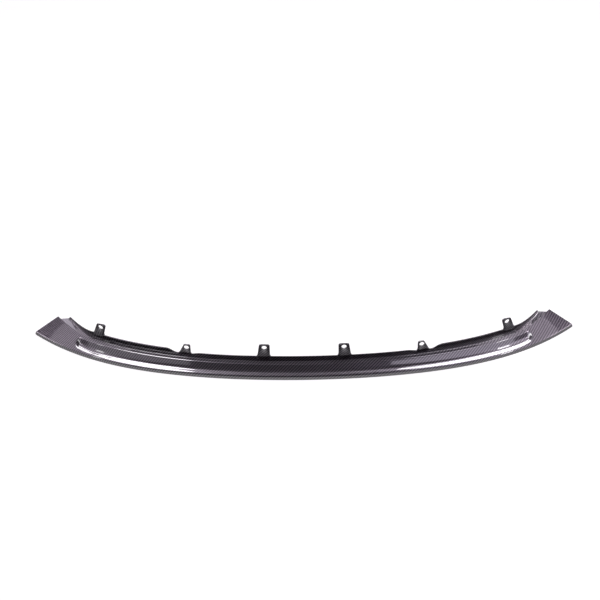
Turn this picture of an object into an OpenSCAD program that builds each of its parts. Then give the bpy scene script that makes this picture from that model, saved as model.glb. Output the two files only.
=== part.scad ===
// Front splitter lip: one thin carbon-fibre shell, laid up in a mould, then trimmed and drilled.
// The front faces -Y and the lip lies on its underside, with the origin below its middle.
// A section is drawn as w, the distance behind the front edge, and z, the height above the floor.

/* [Plan] */
// Width of the lip, from one front corner to the other
lip_span = 1500; // [1400:10:1640]
// How far the gentle curve of the front edge carries its corners back
mid_bow = 112; // [80:1:140]
// How much further the front edge turns back near its corners
corner_sweep = 81; // [50:1:105]
// How suddenly that turn comes
corner_power = 5; // [4:1:6]
// Slant of the side edge: how far it moves inward for each millimetre it runs back
end_rake = 0.45; // [0.2:0.05:0.5]
// Extra slant of the side edge across the rear seat
seat_rake = 0.5; // [0.2:0.1:1]

/* [Blade] */
// Thickness of the laminate
wall = 2.2; // [1.6:0.1:2.8]
// Height of the front face
face_h = 9.5; // [8:0.5:13]
// How far the front face leans back over its height
face_lean = 2; // [1:0.5:4]
// Width of the return under the front edge
return_w = 18; // [14:1:30]
// Front edge to ridge at the middle
blade_mid = 41; // [38:1:48]
// Front edge to ridge where the channel ends
blade_turn = 44; // [40:1:50]
// Front edge to ridge at the side edge
blade_end = 66; // [58:1:72]
// Height of the ridge at the middle
ridge_mid = 31; // [28:0.5:36]
// Height of the ridge where the channel ends
ridge_turn = 33; // [29:0.5:38]
// Height of the ridge at the side edge
ridge_end = 39; // [34:0.5:44]

/* [Channel] */
// Plain panel between the end of the channel and the side edge
panel_w = 108; // [90:1:140]
// Front land between the front edge and the channel
land_w = 6.5; // [5:0.5:9]
// Rear land between the channel and the ridge
brow_w = 9; // [7:0.5:11]
// Depth of the channel at the middle
channel_mid = 4.5; // [3:0.5:7]
// Depth of the channel near its ends
channel_turn = 6; // [4:0.5:9]
// Front edge to the lowest line of the channel at the middle
trough_mid = 17; // [16:0.5:20]
// Front edge to the lowest line of the channel near its ends
trough_turn = 21; // [19:0.5:25]
// Length over which the channel's front corner rounds off
front_round = 62; // [40:1:80]
// Length over which the channel's rear corner rounds off
rear_round = 14; // [8:1:20]
// Length of the steep wall that closes the channel
end_wall = 11; // [7:1:18]

/* [Rear seat] */
// Depth of the seat below the ridge
seat_drop = 10; // [7:0.5:13]
// How far the step behind the ridge leans back over its height
step_lean = 2; // [1:0.5:4]
// How much lower the seat is at the flange than at the step
seat_fall = 1; // [0.5:0.5:2]
// Width of the seat between ridge and flange
seat_w = 12; // [9:0.5:16]
// Width of the seat at the side edge
seat_end = 22; // [16:0.5:24]
// Height of the flange above the seat between the inner tabs
flange_mid = 16; // [13:0.5:20]
// Height of the flange beside the middle tabs
flange_dip = 11.5; // [10:0.5:13]
// Height of the flange between the middle and the outer tabs
flange_high = 24; // [20:0.5:28]
// Length over which the flange drops beside a middle tab
dip_run = 30; // [15:1:40]
// Height of the flange at the side edge
flange_end = 3; // [2.5:0.5:6]

/* [Tabs] */
// Thickness of a tab, which wraps both faces of the flange
tab_wall = 3.2; // [3:0.1:4]
// Place of an inner tab: how far from the middle its section leaves the front edge
inner_x = 110; // [90:1:130]
// Width of an inner tab at its hole
inner_w = 30; // [26:1:34]
// Height of an inner tab's top above the floor
inner_top = 81; // [74:1:88]
// Slant of an inner tab's outer side, in degrees
inner_slant = 8; // [0:1:12]
// Place of a middle tab, measured in the same way
middle_x = 327; // [305:1:345]
// Width of a middle tab at its hole
middle_w = 22; // [20:1:26]
// Height of a middle tab's top above the floor
middle_top = 67; // [62:1:74]
// Slant of a middle tab's outer side, in degrees
middle_slant = 25; // [0:1:28]
// Place of an outer tab, measured in the same way
outer_x = 577; // [550:1:590]
// Width of an outer tab at its hole
outer_w = 28; // [24:1:32]
// Height of an outer tab's top above the floor
outer_top = 86; // [80:1:92]
// Slant of an outer tab's outer side, in degrees
outer_slant = 20; // [0:1:24]
// Slant of an outer tab's inner side, in degrees
outer_lean = 13; // [0:1:16]
// Slope of an outer tab's top edge, up toward the middle, in degrees
outer_slope = 9; // [0:1:14]
// Diameter of the hole in each tab
hole_d = 14; // [10:0.5:16]
// Tab top to the centre of its hole
hole_drop = 11; // [10.5:0.5:14]
// Radius of a tab's top corners
tab_round = 5; // [2:0.5:7]
// Radius at a tab's root, where it grows out of the flange
root_round = 4; // [2:0.5:6]

/* [Hidden] */

half_span = lip_span / 2;
channel_half = half_span - panel_w;
// Where the blade begins to widen toward the side edge
side_from = channel_half - panel_w / 3;
carbon = [0.10, 0.10, 0.11];

// A soft step from 0 at a to 1 at b
function step(a, b, x) = let (t = min(1, max(0, (x - a) / (b - a)))) t * t * (3 - 2 * t);
// A soft start from 0 that runs on straight to 1 as t goes from 0 to 1
function ramp(t) = (sqrt(t * t + 0.04) - 0.2) / (sqrt(1.04) - 0.2);
function blend(a, b, k) = a + (b - a) * k;
function unit(v) = v / norm(v);

// Plan curve of the front edge: its place behind the middle, and its direction in degrees
function edge_y(x) = let (t = abs(x) / half_span)
    mid_bow * pow(t, 2) + corner_sweep * pow(t, corner_power);
function edge_slope(t) =
    (2 * mid_bow * t + corner_power * corner_sweep * pow(t, corner_power - 1)) / half_span;
function edge_angle(x) = sign(x) * atan(edge_slope(abs(x) / half_span));

// How far a place has come from the middle to the channel's end, and from there to the side edge
function to_turn(x) = step(0.35 * channel_half, channel_half, abs(x));
function to_side(x) = ramp(max(0, abs(x) - side_from) / (half_span - side_from));
function between(mid, turn, side, x) = blend(blend(mid, turn, to_turn(x)), side, to_side(x));

function blade_w(x) = between(blade_mid, blade_turn, blade_end, x);
function ridge_z(x) = between(ridge_mid, ridge_turn, ridge_end, x);
function seat_width(x) = blend(seat_w, seat_end, to_side(x));
function flange_w(x) = blade_w(x) + seat_width(x);
function seat_z(x) = ridge_z(x) - seat_drop;

// Height of the flange above the seat: low beside the middle tabs, and falling to the side edges
dip_from = middle_x - middle_w / 2 - dip_run;
dip_to = middle_x + middle_w / 2 + (middle_top - ridge_mid) * tan(middle_slant);
fall_from = outer_x + outer_w / 2;
// How slowly the fall begins: 1 is a straight fall
fall_ease = 1.35;
function flange_inner(x) = blend(flange_mid, flange_dip, step(dip_from, dip_from + dip_run, abs(x)));
function flange_outer(x) = blend(flange_inner(x), flange_high, step(dip_to, dip_to + dip_run, abs(x)));
function fallen(x) = pow(max(0, abs(x) - fall_from) / (half_span - fall_from), fall_ease);
function flange_h(x) = blend(flange_outer(x), flange_end, fallen(x));
// Height of the flange's free edge above the floor
function rim_z(x) = seat_z(x) + flange_h(x);

// The blade's face runs straight from the front edge's crease to the ridge
function face_z(x, w) = face_h + (ridge_z(x) - face_h) * (w - face_lean) / (blade_w(x) - face_lean);

// Distance left to the channel's end, and how far its corners have turned in there
function to_end(x) = channel_half - abs(x);
function turned(x, r) = let (k = min(1, max(0, 1 - to_end(x) / r))) 1 - sqrt(1 - k * k);
function rim_front(x) = blend(land_w, 0.42 * blade_w(x), turned(x, front_round));
function rim_rear(x) = blend(blade_w(x) - brow_w, 0.82 * blade_w(x), turned(x, rear_round));
function trough_line(x) = blend(trough_mid, trough_turn, to_turn(x));
function trough_w(x) = blend(trough_line(x), 0.62 * blade_w(x), turned(x, front_round));
function trough_depth(x) = blend(channel_mid, channel_turn, to_turn(x)) * step(0, end_wall, to_end(x));

// Corners of the visible skin, from the hidden edge of the return to the top of the flange
function corners(x) = let (
    blade = blade_w(x), ridge = ridge_z(x), seat = seat_z(x), back = flange_w(x),
    front = rim_front(x), trough = trough_w(x), rear = rim_rear(x)
) [
    [return_w, 0],
    [0, 0],
    [face_lean, face_h],
    [front, face_z(x, front)],
    [trough, face_z(x, trough) - trough_depth(x)],
    [rear, face_z(x, rear)],
    [blade, ridge],
    [blade + step_lean, seat],
    [back, seat - seat_fall],
    [back, seat + flange_h(x)]
];
// How far each corner is rounded off along its two sides, on the visible skin and on the hidden one
soft_out = [0, 1.2, 0.8, 1.6, 6, 1.2, 1.2, 1.2, 2.5, 0];
soft_in = [0, 0.6, 0.6, 1.6, 5, 1, 0.6, 2, 3.5, 0];
// Largest share of a side that a rounded corner takes
side_share = 0.45;
// Points on each rounded corner
arc_n = [0, 3, 3, 3, 5, 3, 3, 3, 3, 0];

// The hidden skin lies one wall thickness inside the visible one
function side_of(a, b) = let (d = unit(b - a)) [d[1], -d[0]];
function inset(c, i) = let (
    last = len(c) - 1,
    n1 = side_of(c[max(0, i - 1)], c[max(1, i)]),
    n2 = side_of(c[min(last - 1, i)], c[min(last, i + 1)])
) c[i] + wall * (n1 + n2) / (1 + n1 * n2);
function hidden(c) = [for (i = [0:len(c) - 1]) inset(c, i)];

// A skin's line with its corners rounded by parabolic arcs
function arc_point(a, b, c, soft, k) = let (
    p = b + min(soft, norm(a - b) * side_share) * unit(a - b),
    q = b + min(soft, norm(c - b) * side_share) * unit(c - b)
) p * (1 - k) * (1 - k) + b * 2 * k * (1 - k) + q * k * k;
function skin(c, soft) = concat(
    [c[0]],
    [for (i = [1:len(c) - 2]) for (j = [0:arc_n[i] - 1])
        arc_point(c[i - 1], c[i], c[i + 1], soft[i], j / (arc_n[i] - 1))],
    [c[len(c) - 1]]
);
function reversed(v) = [for (i = [len(v) - 1:-1:0]) v[i]];
function ring(x) = let (c = corners(x)) concat(skin(c, soft_out), reversed(skin(hidden(c), soft_in)));

// A section point in space: behind the front edge, and drawn inward along it near the sides
function drawn_in(x, w) = to_side(x) * (end_rake * w + seat_rake * max(0, w - blade_w(x)));
function place(x, w, z) = let (
    a = edge_angle(x),
    s = -sign(x) * drawn_in(x, w)
) [x - w * sin(a) + s * cos(a), edge_y(x) + w * cos(a) + s * sin(a), z];

// Places along the lip: even along the channel, close together at its end, then even again
mid_n = 22;
turn_n = 9;
wall_n = 5;
side_n = 7;
half_places = concat(
    [for (i = [0:mid_n - 1]) (channel_half - front_round) * i / mid_n],
    [for (i = [0:turn_n - 1]) channel_half - blend(front_round, end_wall, sin(90 * i / turn_n))],
    [for (i = [0:wall_n - 1]) channel_half - end_wall * (1 - i / wall_n)],
    [for (i = [0:side_n]) blend(channel_half, half_span, i / side_n)]
);
places = concat([for (i = [len(half_places) - 1:-1:1]) -half_places[i]], half_places);

rings = [for (x = places) ring(x)];
points = [for (i = [0:len(places) - 1]) for (p = rings[i]) place(places[i], p[0], p[1])];
// The origin lies halfway between the foremost and the rearmost point
depths = [for (p = points) p[1]];
mid_y = (min(depths) + max(depths)) / 2;

module shell() {
    n = len(rings[0]);
    m = len(places);
    sides = [for (i = [0:m - 2]) for (j = [0:n - 1]) let (
        a = i * n + j, b = i * n + (j + 1) % n, c = a + n, d = b + n
    ) each [[a, b, c], [b, d, c]]];
    left = [for (j = [0:n / 2 - 2]) each [[j, n - 1 - j, j + 1], [j + 1, n - 1 - j, n - 2 - j]]];
    right = [for (f = left) [f[0], f[2], f[1]] + (m - 1) * n * [1, 1, 1]];
    polyhedron(points, concat(sides, left, right));
}

// Points on a tab's rounded root and on its top corner, and how far a root runs on below the flange's edge
root_n = 5;
corner_n = 8;
root_sink = 0.6;

// Points of a soft bend from p to q around the corner b
function bend(p, b, q) = [for (i = [0:root_n - 1]) let (k = i / (root_n - 1))
    p * pow(1 - k, 2) + b * 2 * k * (1 - k) + q * k * k];

// Points of a tab's rounded top corner around c, from one angle to another
function corner(c, from, to) = [for (i = [0:corner_n]) let (t = blend(from, to, i / corner_n))
    c + tab_round * [cos(t), sin(t)]];

function cross_z(a, b) = a[0] * b[1] - b[0] * a[1];
// Where two lines meet, each given by its normal and its distance from the origin
function meet(n1, d1, n2, d2) = [d1 * n2[1] - d2 * n1[1], n1[0] * d2 - n2[0] * d1] / cross_z(n1, n2);

// Outline of a tab around its hole at the origin: slanted sides, sloped top, rounded top corners
module tab_outline(width, root, slant, lean, slope, outer_rim, inner_rim) {
    outer = [cos(slant), sin(slant)];
    inner = [-cos(lean), -sin(lean)];
    top = [sin(slope), cos(slope)];
    outer_d = outer[0] * width / 2;
    inner_d = -inner[0] * width / 2;
    top_d = hole_drop * cos(slope);
    a = meet(outer, outer_d - tab_round, top, top_d - tab_round);
    b = meet(inner, inner_d - tab_round, top, top_d - tab_round);
    outer_foot = meet(outer, outer_d, [0, 1], outer_rim);
    inner_foot = meet(inner, inner_d, [0, 1], inner_rim);
    polygon(concat(
        [meet(inner, inner_d, [0, 1], -root), meet(outer, outer_d, [0, 1], -root)],
        bend(outer_foot + [root_round, 0], outer_foot, outer_foot + root_round * [-outer[1], outer[0]]),
        corner(a, slant, 90 - slope),
        corner(b, 90 - slope, 180 + lean),
        bend(inner_foot + root_round * [-inner[1], -inner[0]], inner_foot, inner_foot - [root_round, 0])
    ));
}

// A drilled tab on the right half: it stands in the flange at place x, with its foot down in the seat
module tab(x, width, top, slant, lean, slope) {
    at = place(x, flange_w(x) + wall / 2, top - hole_drop);
    root = at[2] - seat_z(x) + seat_fall + wall / 2;
    reach = (width / 2 + root_round) * cos(edge_angle(x));
    outer_rim = rim_z(x + reach) - at[2] - root_sink;
    inner_rim = rim_z(x - reach) - at[2] - root_sink;
    translate(at)
        rotate([90, 0, edge_angle(x)])
            difference() {
                linear_extrude(tab_wall, center = true)
                    tab_outline(width, root, slant, lean, slope, outer_rim, inner_rim);
                cylinder(h = 2 * tab_wall, d = hole_d, center = true, $fn = 96);
            }
}

module splitter_lip() {
    color(carbon)
        translate([0, -mid_y, 0]) {
            shell();
            for (side = [0, 1])
                mirror([side, 0, 0]) {
                    tab(inner_x, inner_w, inner_top, inner_slant, 0, 0);
                    tab(middle_x, middle_w, middle_top, middle_slant, 0, 0);
                    tab(outer_x, outer_w, outer_top, outer_slant, outer_lean, outer_slope);
                }
        }
}

splitter_lip();
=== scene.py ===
"""Looks of the front splitter lip: a clear-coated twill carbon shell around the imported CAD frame.

The lip is one moulding. Its skins are lofted through sections that follow the laws of the CAD source, with
a few finer forms. Its tabs are drilled plates that grow out of the flange, and its weave follows the laminate
through a UV map of its own. Lengths are millimetres in the sizes and metres in the meshes.
"""

import logging
import math
from collections.abc import Sequence
from dataclasses import dataclass, field
from enum import Enum

import bpy
import numpy as np
from mathutils import Matrix, Quaternion, Vector

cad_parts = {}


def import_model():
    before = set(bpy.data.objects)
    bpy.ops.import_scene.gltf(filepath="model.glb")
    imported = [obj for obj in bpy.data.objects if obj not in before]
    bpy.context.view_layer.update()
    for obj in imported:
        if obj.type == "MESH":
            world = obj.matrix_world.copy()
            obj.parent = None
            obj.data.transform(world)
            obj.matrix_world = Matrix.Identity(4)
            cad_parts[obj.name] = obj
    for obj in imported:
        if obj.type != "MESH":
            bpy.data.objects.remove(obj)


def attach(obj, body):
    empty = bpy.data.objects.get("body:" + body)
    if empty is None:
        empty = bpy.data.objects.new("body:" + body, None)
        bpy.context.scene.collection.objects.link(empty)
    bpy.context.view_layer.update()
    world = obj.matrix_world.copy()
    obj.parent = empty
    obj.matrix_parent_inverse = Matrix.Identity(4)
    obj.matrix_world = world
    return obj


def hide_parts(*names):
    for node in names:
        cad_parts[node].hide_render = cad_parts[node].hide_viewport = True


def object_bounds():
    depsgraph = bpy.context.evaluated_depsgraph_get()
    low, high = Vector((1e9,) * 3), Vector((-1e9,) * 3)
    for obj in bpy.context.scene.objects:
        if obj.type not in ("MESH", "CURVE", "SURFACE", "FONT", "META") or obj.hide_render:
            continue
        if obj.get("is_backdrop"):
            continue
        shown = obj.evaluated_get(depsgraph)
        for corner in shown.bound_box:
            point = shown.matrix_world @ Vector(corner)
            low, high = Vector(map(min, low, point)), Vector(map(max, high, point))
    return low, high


LOG = logging.getLogger("splitter_lip")
MM = 0.001
Point2 = tuple[float, float]
Point3 = tuple[float, float, float]


def soft_step(a: float, b: float, x: float) -> float:
    """Returns a soft step from 0 at a to 1 at b."""
    t = min(1.0, max(0.0, (x - a) / (b - a)))
    return t * t * (3 - 2 * t)


def soft_ramp(t: float, ease: float = 0.2) -> float:
    """Returns a soft start from 0 that runs on straight to 1."""
    return (math.hypot(t, ease) - ease) / (math.hypot(1, ease) - ease)


def blend(a: float, b: float, k: float) -> float:
    """Returns the value k of the way from a to b."""
    return a + (b - a) * k


def unit(v: Sequence[float]) -> Point2:
    """Returns a plane vector at length 1."""
    n = math.hypot(v[0], v[1])
    return v[0] / n, v[1] / n


def bend(p: Point2, b: Point2, q: Point2, n: int) -> list[Point2]:
    """Returns n points of a soft bend from p to q around the corner b."""
    ks = [i / (n - 1) for i in range(n)]
    return [tuple(p[m] * (1 - k) ** 2 + b[m] * 2 * k * (1 - k) + q[m] * k * k for m in (0, 1)) for k in ks]


@dataclass(frozen=True)
class LipLaw:
    """The lip's sizes in millimetres, and the laws that turn them into sections.

    Three values in one size hold at the middle, at the channel's end and at the side edge. Two values hold
    at the first and the last of the places where that size changes.

    Attributes:
        span: The lip's whole length.
        mid_bow: The even bow of the front edge.
        corner_sweep, corner_power: Its extra sweep toward the corners, and the power by which that grows.
        end_rake, seat_rake: How far the side edge slants inward per millimetre back, and more at the seat.
        wall: Thickness of the laminate.
        face_h, face_lean: Height and lean of the front face.
        return_w: Width of the return under the front edge.
        blade: Distance from the front edge to the ridge.
        ridge: Height of the ridge.
        panel_w: Length of the plain panel between the channel's end and the side edge.
        land_w, brow_w: Widths of the front and rear land beside the channel.
        channel, trough: The channel's depth, and how far its deepest line lies from the front edge.
        front_round, rear_round: Lengths over which the channel's front and rear corners turn in.
        end_wall: Length of the wall that closes the channel.
        bead: Width and height of the bead on the channel's rear rim.
        flange: Its height at the middle, in the dip at the middle tabs, past the dip and at the side edge.
        turn_from: Share of the channel's half length at which its sections start to change.
        end_front, end_trough, end_rear: Where the channel's lines meet its end, as shares of the blade.
        even_share: How much of the closing wall's slope is even.
        side_lead: Share of the panel's width by which the change to the side edge starts early.
        seat_drop, step_lean: Height and lean of the step from the ridge to the seat.
        seat_fall, seat: How far the seat falls toward the flange, and its width.
        dip_from, dip_to, dip_run: Where the flange goes down and comes up, and the length of each slope.
        fall_from, fall_ease: Where the flange starts to fall to the side edge, and how slowly it starts.
        mid_y: Distance from the front edge's middle to the row frame's origin.
        soft_out, soft_in: How far each corner of the visible and of the hidden skin is rounded off.
        most_round: The most of a side that a rounding takes.
        guards: Places of the guard points on each side.
        station_n: Sections on the straight, the turn and the closing wall of the channel, and on the panel.
    """

    span: float = 1500.0
    mid_bow: float = 112.0
    corner_sweep: float = 81.0
    corner_power: int = 5
    end_rake: float = 0.45
    seat_rake: float = 0.5
    wall: float = 2.2
    face_h: float = 9.5
    face_lean: float = 2.0
    return_w: float = 18.0
    blade: tuple[float, float, float] = (41.0, 44.0, 66.0)
    ridge: tuple[float, float, float] = (31.0, 33.0, 39.0)
    panel_w: float = 108.0
    land_w: float = 6.5
    brow_w: float = 9.0
    channel: tuple[float, float] = (4.5, 6.8)
    trough: tuple[float, float] = (17.0, 21.0)
    front_round: float = 62.0
    rear_round: float = 14.0
    end_wall: float = 12.5
    bead: Point2 = (2.4, 0.55)
    turn_from: float = 0.35
    end_front: float = 0.42
    end_trough: float = 0.62
    end_rear: float = 0.82
    even_share: float = 0.7
    side_lead: float = 1 / 3
    seat_drop: float = 10.0
    step_lean: float = 2.0
    seat_fall: float = 1.0
    seat: tuple[float, float] = (12.0, 22.0)
    flange: tuple[float, float, float, float] = (16.0, 11.5, 24.0, 3.0)
    dip_from: float = 286.0
    dip_to: float = 354.787
    dip_run: float = 30.0
    fall_from: float = 591.0
    fall_ease: float = 1.35
    mid_y: float = 114.25
    soft_out: tuple[float, ...] = (0, 1.2, 1.5, 5.5, 8.0, 1.4, 0.8, 1.1, 1.6, 3.0, 0)
    soft_in: tuple[float, ...] = (0, 0.6, 0.6, 1.8, 6.0, 1.2, 1.0, 0.6, 2.0, 3.8, 0)
    most_round: float = 0.45
    guards: tuple[float, ...] = (0.06, 0.35, 0.65, 0.94)
    station_n: tuple[int, int, int, int] = (84, 18, 12, 22)

    @property
    def half(self) -> float:
        """Returns half the span."""
        return self.span / 2

    @property
    def channel_half(self) -> float:
        """Returns the place where the channel ends."""
        return self.half - self.panel_w

    def edge_y(self, x: float) -> float:
        """Returns how far the front edge lies behind its middle."""
        t = abs(x) / self.half
        return self.mid_bow * t**2 + self.corner_sweep * t**self.corner_power

    def edge_angle(self, x: float) -> float:
        """Works out the front edge's direction.

        Args:
            x: Place along the lip.

        Returns:
            Its angle in radians, positive on the right half.
        """
        t = abs(x) / self.half
        sweep = self.corner_power * self.corner_sweep * t ** (self.corner_power - 1)
        return math.copysign(math.atan((2 * self.mid_bow * t + sweep) / self.half), x)

    def to_turn(self, x: float) -> float:
        """Returns how far a place has come from the middle to the channel's end."""
        return soft_step(self.turn_from * self.channel_half, self.channel_half, abs(x))

    def to_side(self, x: float) -> float:
        """Returns how far a place has come from the channel's end to the side edge."""
        start = self.channel_half - self.panel_w * self.side_lead
        return soft_ramp(max(0.0, abs(x) - start) / (self.half - start))

    def along(self, sizes: tuple[float, float, float], x: float) -> float:
        """Returns a size at x from its values at the middle, the channel's end and the side edge."""
        return blend(blend(sizes[0], sizes[1], self.to_turn(x)), sizes[2], self.to_side(x))

    def blade_w(self, x: float) -> float:
        """Returns the distance from front edge to ridge."""
        return self.along(self.blade, x)

    def ridge_z(self, x: float) -> float:
        """Returns the ridge's height."""
        return self.along(self.ridge, x)

    def seat_z(self, x: float) -> float:
        """Returns the seat's height."""
        return self.ridge_z(x) - self.seat_drop

    def rim_z(self, x: float) -> float:
        """Returns the height of the flange's free edge."""
        return self.seat_z(x) + self.flange_h(x)

    def flange_w(self, x: float) -> float:
        """Returns the distance from front edge to flange."""
        return self.blade_w(x) + blend(self.seat[0], self.seat[1], self.to_side(x))

    def flange_h(self, x: float) -> float:
        """Works out the flange's height above the seat.

        Args:
            x: Place along the lip.

        Returns:
            The height, which dips at the middle tabs and falls to the side edges.
        """
        a = abs(x)
        down = soft_step(self.dip_from, self.dip_from + self.dip_run, a)
        up = soft_step(self.dip_to, self.dip_to + self.dip_run, a)
        outer = blend(blend(self.flange[0], self.flange[1], down), self.flange[2], up)
        fallen = max(0.0, a - self.fall_from) / (self.half - self.fall_from)
        return blend(outer, self.flange[3], fallen**self.fall_ease)

    def face_z(self, x: float, w: float) -> float:
        """Returns the height of the blade's plain face at w."""
        lean = self.face_lean
        return self.face_h + (self.ridge_z(x) - self.face_h) * (w - lean) / (self.blade_w(x) - lean)

    def turned(self, x: float, r: float) -> float:
        """Returns how far a channel corner of length r has turned in at x."""
        k = min(1.0, max(0.0, 1 - (self.channel_half - abs(x)) / r))
        return 1 - math.sqrt(1 - k * k)

    def open_share(self, x: float) -> float:
        """Returns the share of the channel's depth at x: 0 beyond its end, 1 past the closing wall."""
        t = min(1.0, max(0.0, (self.channel_half - abs(x)) / self.end_wall))
        return blend(soft_step(0, 1, t), t, self.even_share)

    def corners(self, x: float) -> list[Point2]:
        """Lays out the corners of the visible skin.

        Args:
            x: Place along the lip.

        Returns:
            Distances from the front edge and heights, from the return's hidden edge to the flange's top.
        """
        blade, ridge, back = self.blade_w(x), self.ridge_z(x), self.flange_w(x)
        seat = ridge - self.seat_drop
        front_in, rear_in = self.turned(x, self.front_round), self.turned(x, self.rear_round)
        front = blend(self.land_w, self.end_front * blade, front_in)
        rear = blend(blade - self.brow_w, self.end_rear * blade, rear_in)
        trough = blend(blend(*self.trough, self.to_turn(x)), self.end_trough * blade, front_in)
        depth = blend(*self.channel, self.to_turn(x)) * self.open_share(x)
        bead_w = self.bead[0]
        bead_h = self.bead[1] * soft_step(0, self.end_wall, self.channel_half - abs(x))
        return [
            (self.return_w, 0.0),
            (0.0, 0.0),
            (self.face_lean, self.face_h),
            (front, self.face_z(x, front)),
            (trough, self.face_z(x, trough) - depth),
            (rear, self.face_z(x, rear) + bead_h),
            (rear + bead_w, self.face_z(x, rear + bead_w)),
            (blade, ridge),
            (blade + self.step_lean, seat),
            (back, seat - self.seat_fall),
            (back, seat + self.flange_h(x)),
        ]

    def hidden(self, c: list[Point2]) -> list[Point2]:
        """Lays out the corners of the hidden skin.

        Args:
            c: The visible skin's corners.

        Returns:
            The same corners, one wall thickness inside.
        """
        sides = [unit((b[0] - a[0], b[1] - a[1])) for a, b in zip(c, c[1:])]
        normals = [(d[1], -d[0]) for d in sides]
        out = []
        for i, p in enumerate(c):
            n1, n2 = normals[max(0, i - 1)], normals[min(len(normals) - 1, i)]
            k = self.wall / (1 + n1[0] * n2[0] + n1[1] * n2[1])
            out.append((p[0] + k * (n1[0] + n2[0]), p[1] + k * (n1[1] + n2[1])))
        return out

    def skin(self, c: list[Point2], soft: Sequence[float], arc_n: int) -> list[Point2]:
        """Returns a skin's line with rounded corners and guard points on its straights.

        Args:
            c: The skin's corners.
            soft: How far each corner is rounded off.
            arc_n: Points on each rounded corner.

        Returns:
            The points, with the same count at every place along the lip.
        """
        arcs = [[c[0]]]
        for i in range(1, len(c) - 1):
            ends = []
            for near in (c[i - 1], c[i + 1]):
                side = math.dist(near, c[i])
                cut = min(soft[i], side * self.most_round)
                ends.append(tuple(c[i][m] + (near[m] - c[i][m]) * cut / side for m in (0, 1)))
            arcs.append(bend(ends[0], c[i], ends[1], arc_n))
        arcs.append([c[-1]])
        line = list(arcs[0])
        for arc, nxt in zip(arcs, arcs[1:]):
            a, b = arc[-1], nxt[0]
            line += [(blend(a[0], b[0], k), blend(a[1], b[1], k)) for k in self.guards]
            line += nxt
        return line

    def place(self, x: float, w: float, z: float) -> Point3:
        """Places a point of a section on the curved lip.

        Args:
            x: Place along the lip.
            w: Distance from the front edge.
            z: Height.

        Returns:
            The point in the row frame, in millimetres.
        """
        a = self.edge_angle(x)
        inward = self.to_side(x) * (self.end_rake * w + self.seat_rake * max(0.0, w - self.blade_w(x)))
        s = -math.copysign(inward, x)
        y = self.edge_y(x) + w * math.cos(a) + s * math.sin(a) - self.mid_y
        return x - w * math.sin(a) + s * math.cos(a), y, z

    def stations(self) -> list[float]:
        """Spaces the sections evenly along the channel, closely at its end, then evenly again.

        Returns:
            The sections' places from the left side edge to the right one.
        """
        end, (n_mid, n_turn, n_steep, n_side) = self.channel_half, self.station_n
        mid = [(end - self.front_round) * i / n_mid for i in range(n_mid)]
        quarter = [math.sin(math.pi / 2 * i / n_turn) for i in range(n_turn)]
        turn = [end - blend(self.front_round, self.end_wall, k) for k in quarter]
        steep = [end - self.end_wall * (1 - i / n_steep) for i in range(n_steep)]
        side = [blend(end, self.half, i / n_side) for i in range(n_side + 1)]
        right = mid + turn + steep + side
        return [-x for x in right[:0:-1]] + right


def select_only(piece: bpy.types.Object) -> None:
    """Makes a piece the only selected object and the active one.

    Args:
        piece: The piece to select.
    """
    bpy.ops.object.select_all(action="DESELECT")
    piece.select_set(True)
    bpy.context.view_layer.objects.active = piece


def apply_modifier(piece: bpy.types.Object, kind: str, **settings: object) -> None:
    """Adds a modifier with its settings and applies it.

    Args:
        piece: The piece to change.
        kind: Blender's name for the modifier.
        settings: Values of the modifier's properties.
    """
    select_only(piece)
    modifier = piece.modifiers.new(kind.lower(), kind)
    for name, value in settings.items():
        setattr(modifier, name, value)
    bpy.ops.object.modifier_apply(modifier=modifier.name)


@dataclass
class Cloth:
    """The flat coordinates of the weave, which turns a little as it is laid along the right half.

    Attributes:
        turn: The whole turn in degrees.
        turn_from, turn_to: Where along the lip the turn starts and ends, in millimetres.
        steps: Points at which the coordinates are added up.
    """

    law: LipLaw
    turn: float = 13.0
    turn_from: float = 150.0
    turn_to: float = 640.0
    steps: int = 3000

    def __post_init__(self) -> None:
        """Adds up the cloth's own coordinates along the front edge."""
        half = self.law.half
        self.xs = np.linspace(-half, half, self.steps)
        mid = (self.xs[1:] + self.xs[:-1]) / 2
        rise = np.diff([self.law.edge_y(x) for x in self.xs])
        turned = np.array([self.angle(x) for x in mid])
        run = np.diff(self.xs)
        across = np.concatenate([[0], np.cumsum(run * np.cos(turned) + rise * np.sin(turned))])
        back = np.concatenate([[0], np.cumsum(rise * np.cos(turned) - run * np.sin(turned))])
        middle = self.steps // 2
        self.across, self.back = across - across[middle], back - back[middle]

    def angle(self, x: float) -> float:
        """Returns how far the cloth is turned at x, in radians."""
        return math.radians(self.turn) * soft_step(self.turn_from, self.turn_to, x)

    def at(self, x: float, run: float, along: float = 0.0) -> Point2:
        """Works out the cloth's coordinates in metres.

        Args:
            x: Place along the lip.
            run: Length from the front edge along the section.
            along: Length from there along the lip.

        Returns:
            Its weft and warp coordinates.
        """
        a = self.law.edge_angle(x) - self.angle(x)
        u = float(np.interp(x, self.xs, self.across)) - run * math.sin(a) + along * math.cos(a)
        v = float(np.interp(x, self.xs, self.back)) + run * math.cos(a) + along * math.sin(a)
        return u * MM, v * MM


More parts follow.
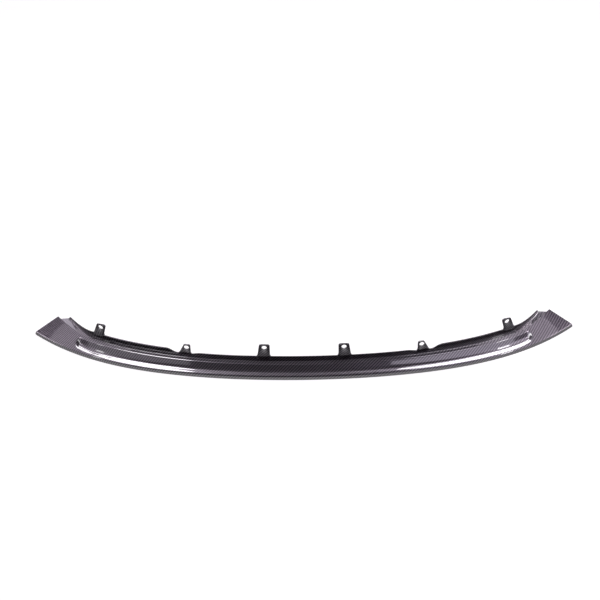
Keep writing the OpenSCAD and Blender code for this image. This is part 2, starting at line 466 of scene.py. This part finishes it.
@dataclass
class LipShell:
    """The moulded shell: a visible and a hidden skin, joined round their trimmed edges.

    Attributes:
        arc_n: Points on each rounded corner of a section.
    """

    law: LipLaw
    cloth: Cloth
    arc_n: int = 7

    def grid(self, name: str, rows: list[list[Point3]], uvs: list[list[Point2]]) -> bpy.types.Object:
        """Adds a grid and lays its points along the rows.

        Args:
            name: The object's name.
            rows: Points in metres, one row for each section.
            uvs: Weave coordinates in metres, in the same order.

        Returns:
            The skin.
        """
        nx, ny = len(rows), len(rows[0])
        bpy.ops.object.select_all(action="DESELECT")
        bpy.ops.mesh.primitive_grid_add(x_subdivisions=nx - 1, y_subdivisions=ny - 1, size=1, calc_uvs=False)
        piece = bpy.context.object
        piece.name = name
        mesh = piece.data
        co = np.zeros(len(mesh.vertices) * 3, np.float32)
        mesh.vertices.foreach_get("co", co)
        co = co.reshape(-1, 3)
        ix = np.rint((co[:, 0] + 0.5) * (nx - 1)).astype(int)
        iy = np.rint((co[:, 1] + 0.5) * (ny - 1)).astype(int)
        mesh.vertices.foreach_set("co", np.array(rows, np.float32)[ix, iy].ravel())
        layer = mesh.uv_layers.new(name="weave")
        loops = np.zeros(len(mesh.loops), int)
        mesh.loops.foreach_get("vertex_index", loops)
        layer.data.foreach_set("uv", np.array(uvs, np.float32)[ix, iy][loops].ravel())
        mesh.update()
        return piece

    def skins(self) -> list[bpy.types.Object]:
        """Builds both skins.

        Returns:
            The visible skin and the hidden one.
        """
        law, made = self.law, []
        for name, soft in (("skin", law.soft_out), ("lining", law.soft_in)):
            rows, uvs = [], []
            for x in law.stations():
                c = law.corners(x)
                line = law.skin(c if name == "skin" else law.hidden(c), soft, self.arc_n)
                rows.append([tuple(v * MM for v in law.place(x, w, z)) for w, z in line])
                steps = np.array([math.dist(p, q) for p, q in zip([line[0], *line], line)])
                uvs.append([self.cloth.at(x, run) for run in np.cumsum(steps) - law.return_w])
            made.append(self.grid(name, rows, uvs))
        return made

    def build(self) -> bpy.types.Object:
        """Joins the skins round their edges and points every face outward.

        Returns:
            The shell as one closed mesh, its hidden skin in material slot 1.
        """
        skin, lining = self.skins()
        for piece, index in ((skin, 0), (lining, 1)):
            piece.data.polygons.foreach_set("material_index", [index] * len(piece.data.polygons))
        select_only(skin)
        lining.select_set(True)
        bpy.ops.object.join()
        bpy.ops.object.mode_set(mode="EDIT")
        bpy.ops.mesh.select_mode(type="EDGE")
        bpy.ops.mesh.select_all(action="DESELECT")
        bpy.ops.mesh.select_non_manifold(
            use_wire=False, use_multi_face=False, use_non_contiguous=False, use_verts=False
        )
        bpy.ops.mesh.bridge_edge_loops()
        bpy.ops.mesh.select_all(action="SELECT")
        bpy.ops.mesh.normals_make_consistent(inside=False)
        bpy.ops.mesh.select_all(action="DESELECT")
        bpy.ops.object.mode_set(mode="OBJECT")
        return skin


@dataclass(frozen=True)
class TabSize:
    """One pair of tabs, in mm and degrees: place, width, top, slants of both sides and the top's slope."""

    name: str
    x: float
    width: float
    top: float
    slant: float
    lean: float
    slope: float


@dataclass
class MountTabs:
    """The six drilled tabs, which grow out of the flange, in mm and degrees.

    Attributes:
        hole_drop: How far the hole's centre lies below the tab's top.
        rounding, root_round: Roundings of the top corners and of the roots.
        edge_round, sharp: The bevel along the edges, and the angle above which an edge gets it.
        ring_n, arc_n: Points round the hole and on each bend.
    """

    law: LipLaw
    cloth: Cloth
    thick: float = 2.9
    hole_d: float = 14.0
    hole_drop: float = 11.0
    rounding: float = 5.0
    root_round: float = 2.5
    edge_round: float = 0.3
    sharp: float = 50.0
    ring_n: int = 144
    arc_n: int = 9
    pairs: tuple[TabSize, ...] = (
        TabSize("inner", 110, 30, 81, 8, 0, 0),
        TabSize("middle", 327, 22, 67, 25, 0, 0),
        TabSize("outer", 577, 28, 86, 20, 13, 9),
    )

    @staticmethod
    def meet(n1: Point2, d1: float, n2: Point2, d2: float) -> Point2:
        """Returns where two lines meet, each given by its normal and its distance from the hole."""
        det = n1[0] * n2[1] - n2[0] * n1[1]
        return (d1 * n2[1] - d2 * n1[1]) / det, (n1[0] * d2 - n2[0] * d1) / det

    def arc(self, centre: Point2, start: float, end: float) -> list[Point2]:
        """Draws the arc of a top corner.

        Args:
            centre: The arc's centre.
            start: Its first angle in radians.
            end: Its last angle in radians.

        Returns:
            Points in millimetres.
        """
        r = self.rounding
        angles = [blend(start, end, i / (self.arc_n - 1)) for i in range(self.arc_n)]
        return [(centre[0] + r * math.cos(a), centre[1] + r * math.sin(a)) for a in angles]

    def outline(self, size: TabSize, root: float, rims: Point2) -> list[Point2]:
        """Returns the tab's outline round its hole.

        Args:
            size: The tab's sizes.
            root: How far below the hole the tab's foot lies.
            rims: Heights of the flange's edge over the hole, on the tab's outer and inner side.

        Returns:
            Points in millimetres, anticlockwise.
        """
        slant, lean, slope = (math.radians(v) for v in (size.slant, size.lean, size.slope))
        outer, inner = (math.cos(slant), math.sin(slant)), (-math.cos(lean), -math.sin(lean))
        top, r, f = (math.sin(slope), math.cos(slope)), self.rounding, self.root_round
        outer_d, inner_d = outer[0] * size.width / 2, -inner[0] * size.width / 2
        top_d = self.hole_drop * math.cos(slope)
        a, b = (self.meet(n, d - r, top, top_d - r) for n, d in ((outer, outer_d), (inner, inner_d)))
        foot_a = self.meet(outer, outer_d, (0, 1), rims[0])
        foot_b = self.meet(inner, inner_d, (0, 1), rims[1])
        up_a = (foot_a[0] - f * outer[1], foot_a[1] + f * outer[0])
        up_b = (foot_b[0] - f * inner[1], foot_b[1] - f * inner[0])
        return [
            self.meet(inner, inner_d, (0, 1), -root),
            self.meet(outer, outer_d, (0, 1), -root),
            *bend((foot_a[0] + f, foot_a[1]), foot_a, up_a, self.arc_n),
            *self.arc(a, slant, math.pi / 2 - slope),
            *self.arc(b, math.pi / 2 - slope, math.pi + lean),
            *bend(up_b, foot_b, (foot_b[0] - f, foot_b[1]), self.arc_n),
        ]

    @staticmethod
    def reach(outline: list[Point2], d: Point2) -> float:
        """Measures how far the outline lies from the hole's centre.

        Args:
            outline: The tab's outline.
            d: Direction at length 1.

        Returns:
            The distance in millimetres.
        """
        best = 0.0
        for p, q in zip(outline, outline[1:] + outline[:1]):
            e = (q[0] - p[0], q[1] - p[1])
            det = d[0] * e[1] - d[1] * e[0]
            if abs(det) < 1e-12:
                continue
            t = (p[0] * e[1] - p[1] * e[0]) / det
            k = (p[0] * d[1] - p[1] * d[0]) / det
            if t > 0 and -1e-9 <= k <= 1 + 1e-9:
                best = max(best, t)
        return best

    def tab(self, size: TabSize, side: int) -> bpy.types.Object:
        """Builds one tab: hole and outline loops, bridged, thickened and softened at their edges.

        Args:
            size: The tab's sizes.
            side: 1 for the right half of the lip, -1 for the left.

        Returns:
            The tab in its place.
        """
        law = self.law
        at = law.place(size.x, law.flange_w(size.x) + law.wall / 2, size.top - self.hole_drop)
        root = at[2] - law.seat_z(size.x) + law.seat_fall + law.wall / 2
        reach = (size.width / 2 + self.root_round) * math.cos(law.edge_angle(size.x))
        rims = (law.rim_z(size.x + reach) - at[2], law.rim_z(size.x - reach) - at[2])
        outline = self.outline(size, root, rims)
        bpy.ops.object.select_all(action="DESELECT")
        bpy.ops.mesh.primitive_circle_add(vertices=self.ring_n, radius=self.hole_d / 2 * MM)
        tab = bpy.context.object
        tab.name = f"tab_{size.name}_{side}"
        bpy.ops.object.mode_set(mode="EDIT")
        bpy.ops.mesh.primitive_circle_add(vertices=self.ring_n, radius=size.width * MM)
        bpy.ops.object.mode_set(mode="OBJECT")
        hole, edge = tab.data.vertices[: self.ring_n], tab.data.vertices[self.ring_n :]
        for i in range(self.ring_n):
            a = 2 * math.pi * i / self.ring_n
            d = Vector((math.cos(a), math.sin(a), 0))
            hole[i].co = d * self.hole_d / 2 * MM
            edge[i].co = d * self.reach(outline, (d.x, d.y)) * MM
        bpy.ops.object.mode_set(mode="EDIT")
        bpy.ops.mesh.select_mode(type="EDGE")
        bpy.ops.mesh.select_all(action="SELECT")
        bpy.ops.mesh.bridge_edge_loops()
        bpy.ops.mesh.select_all(action="SELECT")
        bpy.ops.mesh.extrude_region_move(TRANSFORM_OT_translate={"value": (0, 0, self.thick * MM)})
        bpy.ops.mesh.select_all(action="SELECT")
        bpy.ops.mesh.normals_make_consistent(inside=False)
        bpy.ops.object.mode_set(mode="OBJECT")
        limit = {"limit_method": "ANGLE", "angle_limit": math.radians(self.sharp)}
        apply_modifier(tab, "BEVEL", width=self.edge_round * MM, segments=2, **limit)
        turn = Matrix.Rotation(law.edge_angle(size.x), 4, "Z") @ Matrix.Rotation(math.pi / 2, 4, "X")
        centre = Matrix.Translation((0, 0, -self.thick * MM / 2))
        tab.data.transform(Matrix.Translation(Vector(at) * MM) @ turn @ centre)
        if side < 0:
            tab.data.transform(Matrix.Scale(-1, 4, (1, 0, 0)))
            tab.data.flip_normals()
        self.lay_cloth(tab, side * size.x)
        return tab

    def lay_cloth(self, tab: bpy.types.Object, x: float) -> None:
        """Carries the flange's weave on into a tab.

        Args:
            tab: The tab to dress.
            x: Place along the lip at which it stands.
        """
        law = self.law
        c = law.corners(x)
        run = sum(math.dist(p, q) for p, q in zip(c[1:-2], c[2:-1]))
        foot = law.place(x, law.flange_w(x), c[-2][1])
        a = law.edge_angle(x)
        for other in list(tab.data.uv_layers):
            tab.data.uv_layers.remove(other)
        layer = tab.data.uv_layers.new(name="weave")
        for loop in tab.data.loops:
            co = tab.data.vertices[loop.vertex_index].co / MM
            along = (co.x - foot[0]) * math.cos(a) + (co.y - foot[1]) * math.sin(a)
            layer.data[loop.index].uv = self.cloth.at(x, run + co.z - foot[2], along)

    def build(self) -> bpy.types.Object:
        """Builds all six tabs as one mesh.

        Returns:
            The tabs, joined.
        """
        tabs = [self.tab(size, side) for size in self.pairs for side in (1, -1)]
        select_only(tabs[0])
        for tab in tabs[1:]:
            tab.select_set(True)
        bpy.ops.object.join()
        tabs[0].name = "tabs"
        return tabs[0]


class Link:
    """Small helper that adds and joins shader nodes in one tree."""

    def __init__(self, tree: bpy.types.NodeTree) -> None:
        """Keeps the tree."""
        self.tree = tree

    def add(self, kind: str, **settings: object) -> bpy.types.Node:
        """Adds a node and sets its properties.

        Args:
            kind: Blender's name for the node.
            settings: Values of the node's properties.

        Returns:
            The node.
        """
        node = self.tree.nodes.new(kind)
        for name, value in settings.items():
            setattr(node, name, value)
        return node

    def join(self, out: bpy.types.NodeSocket, into: bpy.types.NodeSocket) -> None:
        """Joins two sockets."""
        self.tree.links.new(out, into)

    def math(self, operation: str, *values: object) -> bpy.types.NodeSocket:
        """Adds a Math node over numbers and sockets.

        Args:
            operation: Blender's name for the operation.
            values: One to three numbers or output sockets.

        Returns:
            The node's output.
        """
        node = self.add("ShaderNodeMath", operation=operation)
        for i, value in enumerate(values):
            if isinstance(value, bpy.types.NodeSocket):
                self.join(value, node.inputs[i])
            else:
                node.inputs[i].default_value = float(value)
        return node.outputs[0]


def weave_group() -> bpy.types.NodeTree:
    """Builds the 2x2 twill as a node group.

    Returns:
        A group that takes cloth coordinates in metres and a tow width, and puts out Float (1 on a warp float,
        0 on a weft float), Crown (0 between tows, 1 on a tow's crown), Height and Streak.
    """
    repeat, floats = 4.0, 2.0
    crown_power, arch_share = 3.0, 0.65
    streaks_across, streaks_along = 9.0, 0.35
    tree = bpy.data.node_groups.new("twill_weave", "ShaderNodeTree")
    face = tree.interface
    face.new_socket("Cloth", in_out="INPUT", socket_type="NodeSocketVector")
    face.new_socket("Tow", in_out="INPUT", socket_type="NodeSocketFloat")
    for name in ("Float", "Crown", "Height", "Streak"):
        face.new_socket(name, in_out="OUTPUT", socket_type="NodeSocketFloat")
    link = Link(tree)
    group_in, group_out = link.add("NodeGroupInput"), link.add("NodeGroupOutput")
    split = link.add("ShaderNodeSeparateXYZ")
    link.join(group_in.outputs["Cloth"], split.inputs[0])
    a = link.math("DIVIDE", split.outputs[0], group_in.outputs["Tow"])
    b = link.math("DIVIDE", split.outputs[1], group_in.outputs["Tow"])
    i, j = link.math("FLOOR", a), link.math("FLOOR", b)
    fa, fb = link.math("SUBTRACT", a, i), link.math("SUBTRACT", b, j)
    phase = link.math("FLOORED_MODULO", link.math("SUBTRACT", i, j), repeat)
    warp = link.math("LESS_THAN", phase, floats - 0.5)
    on_warp = link.math("ADD", link.math("SUBTRACT", floats - 1, phase), fb)
    on_weft = link.math("ADD", link.math("SUBTRACT", phase, floats), fa)
    along_warp = link.math("MULTIPLY", on_warp, 1 / floats)
    along_weft = link.math("MULTIPLY", on_weft, 1 / floats)

    def pick(for_warp: bpy.types.NodeSocket, for_weft: bpy.types.NodeSocket) -> bpy.types.NodeSocket:
        """Returns one value on warp floats and another on weft floats."""
        kept = link.math("MULTIPLY", link.math("SUBTRACT", 1.0, warp), for_weft)
        return link.math("MULTIPLY_ADD", warp, for_warp, kept)

    across = pick(fa, fb)
    along = pick(along_warp, along_weft)
    edge = link.math("ABSOLUTE", link.math("MULTIPLY_ADD", across, 2.0, -1.0))
    crown = link.math("SUBTRACT", 1.0, link.math("POWER", edge, crown_power))
    shown = link.math("MAXIMUM", link.math("MINIMUM", along, 1.0), 0.0)
    arch = link.math("SINE", link.math("MULTIPLY", shown, math.pi))
    height = link.math("MULTIPLY", crown, link.math("MULTIPLY_ADD", arch, arch_share, 1 - arch_share))
    streaks = link.add("ShaderNodeCombineXYZ")
    link.join(link.math("MULTIPLY", pick(a, b), streaks_across), streaks.inputs[0])
    link.join(link.math("MULTIPLY", pick(b, a), streaks_along), streaks.inputs[1])
    link.join(warp, streaks.inputs[2])
    noise = link.add("ShaderNodeTexNoise")
    noise.inputs["Scale"].default_value = 1.0
    noise.inputs["Detail"].default_value = 2.0
    link.join(streaks.outputs[0], noise.inputs["Vector"])
    link.join(warp, group_out.inputs["Float"])
    link.join(crown, group_out.inputs["Crown"])
    link.join(height, group_out.inputs["Height"])
    link.join(noise.outputs["Fac"], group_out.inputs["Streak"])
    return tree


class Coat(Enum):
    """What lies over the weave."""

    CLEAR = "clear_coat"
    BARE = "bare_resin"


@dataclass(frozen=True)
class CarbonFinish:
    """Twill carbon laminate under its resin.

    Attributes:
        tow: Width of a tow in metres.
        weft, warp: Colours of the two directions' floats.
        crown_depth, streak_depth: How far the gaps between tows and the streaks along them darken the colour.
        rough_spread: How far the streaks spread the roughness.
        bump, bump_height: Strength and height in metres of the weave's relief.
        coat_roughness, coat_ior: The clear coat's own gloss and index.
    """

    name: str
    coat: Coat
    tow: float = 0.00213
    weft: Point3 = (0.058, 0.054, 0.065)
    warp: Point3 = (0.178, 0.160, 0.184)
    metallic: float = 0.9
    roughness: float = 0.30
    crown_depth: float = 0.55
    streak_depth: float = 0.5
    rough_spread: float = 0.16
    bump: float = 0.4
    bump_height: float = 0.0001
    coat_roughness: float = 0.03
    coat_ior: float = 2.0

    def material(self, weave: bpy.types.NodeTree) -> bpy.types.Material:
        """Builds the material.

        Args:
            weave: The twill node group.

        Returns:
            The material, with the weave's colour, roughness and bump.
        """
        made = bpy.data.materials.new(self.name)
        made.use_nodes = True
        tree = made.node_tree
        link = Link(tree)
        shader = tree.nodes["Principled BSDF"]
        cloth = link.add("ShaderNodeUVMap", uv_map="weave")
        twill = link.add("ShaderNodeGroup", node_tree=weave)
        twill.inputs["Tow"].default_value = self.tow
        link.join(cloth.outputs[0], twill.inputs["Cloth"])
        colour = link.add("ShaderNodeMix", data_type="RGBA")
        colour.inputs["A"].default_value = (*self.weft, 1)
        colour.inputs["B"].default_value = (*self.warp, 1)
        link.join(twill.outputs["Float"], colour.inputs["Factor"])
        shade = link.math("MULTIPLY_ADD", twill.outputs["Crown"], self.crown_depth, 1 - self.crown_depth)
        least = 1 - self.streak_depth / 2
        streak = link.math("MULTIPLY_ADD", twill.outputs["Streak"], self.streak_depth, least)
        dark = link.add("ShaderNodeMix", data_type="RGBA", blend_type="MULTIPLY")
        dark.inputs["Factor"].default_value = 1.0
        grey = link.add("ShaderNodeCombineColor")
        value = link.math("MULTIPLY", shade, streak)
        for socket in grey.inputs[:3]:
            link.join(value, socket)
        link.join(colour.outputs["Result"], dark.inputs["A"])
        link.join(grey.outputs[0], dark.inputs["B"])
        link.join(dark.outputs["Result"], shader.inputs["Base Color"])
        smooth = self.roughness - self.rough_spread / 2
        rough = link.math("MULTIPLY_ADD", twill.outputs["Streak"], self.rough_spread, smooth)
        link.join(rough, shader.inputs["Roughness"])
        bump = link.add("ShaderNodeBump")
        bump.inputs["Strength"].default_value = self.bump
        bump.inputs["Distance"].default_value = self.bump_height
        link.join(twill.outputs["Height"], bump.inputs["Height"])
        link.join(bump.outputs[0], shader.inputs["Normal"])
        shader.inputs["Metallic"].default_value = self.metallic
        if self.coat is Coat.CLEAR:
            shader.inputs["Coat Weight"].default_value = 1.0
            shader.inputs["Coat Roughness"].default_value = self.coat_roughness
            shader.inputs["Coat IOR"].default_value = self.coat_ior
        return made


@dataclass(frozen=True)
class Softbox:
    """One area lamp.

    Attributes:
        azimuth, elevation: Bearing from the target in degrees, the azimuth from the rear (+Y) toward +X.
        distance: Distance from the target in metres.
        size: Width and height in metres.
        brightness: What a mirror would show of it.
        turn: Turn about its own axis in degrees.
        shape: Blender's name for its outline.
        target: The point it faces.
    """

    name: str
    azimuth: float
    elevation: float
    distance: float
    size: Point2
    brightness: float
    colour: Point3 = (1.0, 1.0, 1.0)
    turn: float = 0.0
    shape: str = "RECTANGLE"
    target: Point3 = (0.0, 0.0, 0.0)

    def build(self) -> None:
        """Adds the lamp, turned toward its target and unseen by the camera."""
        lamp = bpy.data.lights.new(self.name, "AREA")
        lamp.shape = self.shape
        lamp.size, lamp.size_y = self.size
        area = self.size[0] * self.size[1] * (math.pi / 4 if self.shape == "ELLIPSE" else 1.0)
        lamp.energy = self.brightness * math.pi * area
        lamp.color = self.colour
        stand = bpy.data.objects.new(self.name, lamp)
        bpy.context.scene.collection.objects.link(stand)
        a, e = math.radians(self.azimuth), math.radians(self.elevation)
        away = Vector((math.sin(a) * math.cos(e), math.cos(a) * math.cos(e), math.sin(e)))
        stand.location = Vector(self.target) + away * self.distance
        stand.visible_camera = False
        aim = (-away).to_track_quat("-Z", "Y") @ Quaternion((0, 0, 1), math.radians(self.turn))
        stand.rotation_euler = aim.to_euler()


@dataclass
class Studio:
    """Floor, lamps, surroundings and camera.

    Attributes:
        elevation, distance, roll: The camera's angle, distance in metres and roll.
        mm_per_px, centre_px, frame_px: Scale at the target, the target's place in the picture and its size.
        floor_matt, floor_dark: How pale the floor is to the camera and to all else.
        floor_glow, floor_sheen: How brightly the floor glows to the camera and in grazing reflections.
        sheen_span: Where the sheen sets in and where it is full, on the way from 0 facing to 1 grazing.
        room, room_rear, room_tint: The room's strength, what its rear adds and its colour.
    """

    elevation: float = 45.0
    distance: float = 4.0
    mm_per_px: float = 2.705
    roll: float = 0.83
    centre_px: tuple[float, float] = (304.3, 361.2)
    target: Point3 = (0.0, -0.07325, 0.031)
    frame_px: float = 600.0
    sensor: float = 36.0
    floor_size: float = 40.0
    floor_z: float = -0.0004
    floor_matt: float = 0.42
    floor_dark: float = 0.09
    floor_glow: float = 0.7
    floor_sheen: float = 0.8
    sheen_span: Point2 = (0.42, 0.66)
    room: float = 0.07
    room_rear: float = 0.05
    room_tint: Point3 = (0.98, 0.90, 1.0)
    boxes: tuple[Softbox, ...] = field(
        default_factory=lambda: (
            Softbox("left_strip", -50, 64, 3.0, (0.70, 2.00), 8.8, (1.0, 0.97, 1.0), -50, "ELLIPSE"),
            Softbox("right_strip", 37, 57, 3.2, (1.10, 1.10), 8.8, (1.0, 0.97, 1.0), 0, "ELLIPSE"),
            Softbox("right_glow", 66, 68, 3.0, (0.7, 1.3), 2.1, (0.94, 0.88, 1.0), 66),
            Softbox("left_side", -90, 31, 3.0, (1.2, 0.8), 5.7, (1.0, 0.90, 1.0)),
            Softbox("right_side", 90, 31, 3.0, (1.2, 0.8), 7.2, (1.0, 0.90, 1.0)),
            Softbox("left_wing", -84, 52, 3.0, (1.5, 1.0), 0.64, (0.97, 0.88, 1.0)),
            Softbox("right_wing", 84, 52, 3.0, (1.5, 1.0), 0.72, (0.97, 0.88, 1.0)),
            Softbox("front_left", -132, 37, 3.0, (1.9, 1.1), 0.5, (0.96, 0.90, 1.0)),
            Softbox("front_right", 133, 40, 3.0, (2.5, 1.2), 1.2, (0.92, 0.85, 1.0)),
            Softbox("end_left", -150, 57, 0.2, (0.03, 0.06), 3.5, target=(-0.623, 0.028, 0.021)),
            Softbox("end_right", 160, 62, 0.2, (0.05, 0.08), 6.0, target=(0.623, 0.025, 0.021)),
            Softbox("seat_left", -17, 43, 3.0, (0.7, 0.7), 1.8, (0.95, 0.88, 1.0)),
        )
    )

    def floor(self) -> None:
        """Adds a floor: pale to the camera, light at grazing reflections, clear from below."""
        bpy.ops.object.select_all(action="DESELECT")
        bpy.ops.mesh.primitive_plane_add(size=self.floor_size, location=(0, 0, self.floor_z))
        plane = bpy.context.object
        plane.name = "floor"
        paint = bpy.data.materials.new("pale_floor")
        paint.use_nodes = True
        tree = paint.node_tree
        tree.nodes.clear()
        link = Link(tree)
        out, total = link.add("ShaderNodeOutputMaterial"), link.add("ShaderNodeAddShader")
        matt, glow = link.add("ShaderNodeBsdfDiffuse"), link.add("ShaderNodeEmission")
        path = link.add("ShaderNodeLightPath")
        facing = link.add("ShaderNodeLayerWeight")
        facing.inputs["Blend"].default_value = 0.5
        pale = link.add("ShaderNodeMix", data_type="RGBA")
        pale.inputs["A"].default_value = (*[self.floor_dark] * 3, 1)
        pale.inputs["B"].default_value = (*[self.floor_matt] * 3, 1)
        link.join(path.outputs["Is Camera Ray"], pale.inputs["Factor"])
        link.join(pale.outputs["Result"], matt.inputs["Color"])
        grazing = link.add("ShaderNodeMapRange", interpolation_type="SMOOTHSTEP")
        link.join(facing.outputs["Facing"], grazing.inputs["Value"])
        grazing.inputs["From Min"].default_value = self.sheen_span[0]
        grazing.inputs["From Max"].default_value = self.sheen_span[1]
        sheen = link.math("MULTIPLY", grazing.outputs["Result"], self.floor_sheen)
        sheen = link.math("MULTIPLY", sheen, path.outputs["Is Glossy Ray"])
        white = link.math("MAXIMUM", path.outputs["Is Camera Ray"], path.outputs["Is Transmission Ray"])
        link.join(link.math("MULTIPLY_ADD", white, self.floor_glow, sheen), glow.inputs["Strength"])
        link.join(matt.outputs[0], total.inputs[0])
        link.join(glow.outputs[0], total.inputs[1])
        side, clear = link.add("ShaderNodeNewGeometry"), link.add("ShaderNodeBsdfTransparent")
        seen = link.add("ShaderNodeMixShader")
        link.join(side.outputs["Backfacing"], seen.inputs[0])
        link.join(total.outputs[0], seen.inputs[1])
        link.join(clear.outputs[0], seen.inputs[2])
        link.join(seen.outputs[0], out.inputs["Surface"])
        plane.data.materials.append(paint)
        plane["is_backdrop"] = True

    def surroundings(self) -> None:
        """Sets a dim room, lighter behind, that reads pale where the camera sees it itself."""
        world = bpy.data.worlds.new("room")
        bpy.context.scene.world = world
        world.use_nodes = True
        link = Link(world.node_tree)
        back = world.node_tree.nodes["Background"]
        where = link.add("ShaderNodeTexCoord")
        split = link.add("ShaderNodeSeparateXYZ")
        link.join(where.outputs["Generated"], split.inputs[0])
        rear = link.math("MULTIPLY", link.math("MAXIMUM", split.outputs[1], 0.0), self.room_rear)
        path = link.add("ShaderNodeLightPath")
        dim = link.math("ADD", rear, self.room)
        link.join(link.math("MAXIMUM", dim, path.outputs["Is Camera Ray"]), back.inputs["Strength"])
        tint = link.add("ShaderNodeMix", data_type="RGBA")
        tint.inputs["A"].default_value = (*self.room_tint, 1)
        tint.inputs["B"].default_value = (1.0, 1.0, 1.0, 1)
        link.join(path.outputs["Is Camera Ray"], tint.inputs["Factor"])
        link.join(tint.outputs["Result"], back.inputs["Color"])

    def camera(self) -> None:
        """Adds the camera at the photograph's angle, so that the lip lies where the photograph has it."""
        e = math.radians(self.elevation)
        target = Vector(self.target)
        eye = target + Vector((0, -math.cos(e), math.sin(e))) * self.distance
        focal = self.distance / (self.mm_per_px * MM)
        lens = bpy.data.cameras.new("camera")
        lens.sensor_width = self.sensor
        lens.lens = focal / self.frame_px * self.sensor
        lens.clip_end = 100
        camera = bpy.data.objects.new("camera", lens)
        bpy.context.scene.collection.objects.link(camera)
        dx = self.centre_px[0] - self.frame_px / 2
        dy = self.centre_px[1] - self.frame_px / 2
        look = (target - eye).to_track_quat("-Z", "Y").to_matrix()
        roll = Matrix.Rotation(-math.radians(self.roll), 3, "Z")
        pan = Matrix.Rotation(math.atan(dx / focal), 3, "Y") @ Matrix.Rotation(math.atan(dy / focal), 3, "X")
        camera.matrix_world = Matrix.Translation(eye) @ (look @ roll @ pan).to_4x4()
        bpy.context.scene.camera = camera

    def build(self) -> None:
        """Builds the studio."""
        self.floor()
        self.surroundings()
        for box in self.boxes:
            box.build()
        self.camera()
        bpy.context.scene.view_settings.view_transform = "Standard"


@dataclass
class SplitterLip:
    """The whole lip: shell and tabs as one moulding, dressed in its finishes.

    Attributes:
        box: Lowest and highest corner of the CAD box.
        smooth_angle: The angle in degrees up to which neighbouring faces are shaded as one.
    """

    law: LipLaw
    box: Sequence[Vector]
    smooth_angle: float = 35.0

    @staticmethod
    def pull_inside(piece: bpy.types.Object, box: Sequence[Vector], slack: float = 0.00003) -> None:
        """Shrinks a piece by a few hundredths of a millimetre where its mesh reaches out of the CAD box.

        Args:
            piece: The piece to fit.
            box: Lowest and highest corner of the CAD box.
            slack: What stays free on each side, in metres.
        """
        co = np.zeros(len(piece.data.vertices) * 3, np.float32)
        piece.data.vertices.foreach_get("co", co)
        co = co.reshape(-1, 3)
        low, high = co.min(axis=0), co.max(axis=0)
        room_low, room_high = np.array(box[0]) + slack, np.array(box[1]) - slack
        k = np.minimum(1.0, (room_high - room_low) / (high - low))
        centre, reach = (low + high) / 2, k * (high - low) / 2
        middle = np.clip(centre, room_low + reach, room_high - reach)
        piece.data.vertices.foreach_set("co", ((co - centre) * k + middle).astype(np.float32).ravel())
        piece.data.update()

    def build(self) -> bpy.types.Object:
        """Builds the moulding and dresses it.

        Returns:
            The lip, riding on the root body, with its CAD node hidden.
        """
        cloth = Cloth(self.law)
        lip = LipShell(self.law, cloth).build()
        tabs = MountTabs(self.law, cloth).build()
        apply_modifier(lip, "BOOLEAN", operation="UNION", object=tabs, solver="EXACT")
        bpy.data.objects.remove(tabs)
        self.pull_inside(lip, self.box)
        lip.name = "splitter_lip_moulding"
        weave = weave_group()
        lip.data.materials.clear()
        coated = CarbonFinish("clear_coated_carbon", Coat.CLEAR)
        bare = CarbonFinish("bare_carbon", Coat.BARE, roughness=0.6, metallic=0.4)
        for finish in (coated, bare):
            lip.data.materials.append(finish.material(weave))
        select_only(lip)
        bpy.ops.object.shade_smooth_by_angle(angle=math.radians(self.smooth_angle))
        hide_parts("splitter_lip")
        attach(lip, "root")
        LOG.info("%s: %d faces", lip.name, len(lip.data.polygons))
        return lip


def main() -> None:
    """Builds the lip and its studio."""
    logging.basicConfig(level=logging.INFO, format="%(message)s")
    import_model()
    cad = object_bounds()
    SplitterLip(LipLaw(), cad).build()
    Studio().build()


if __name__ == "__main__":
    main()
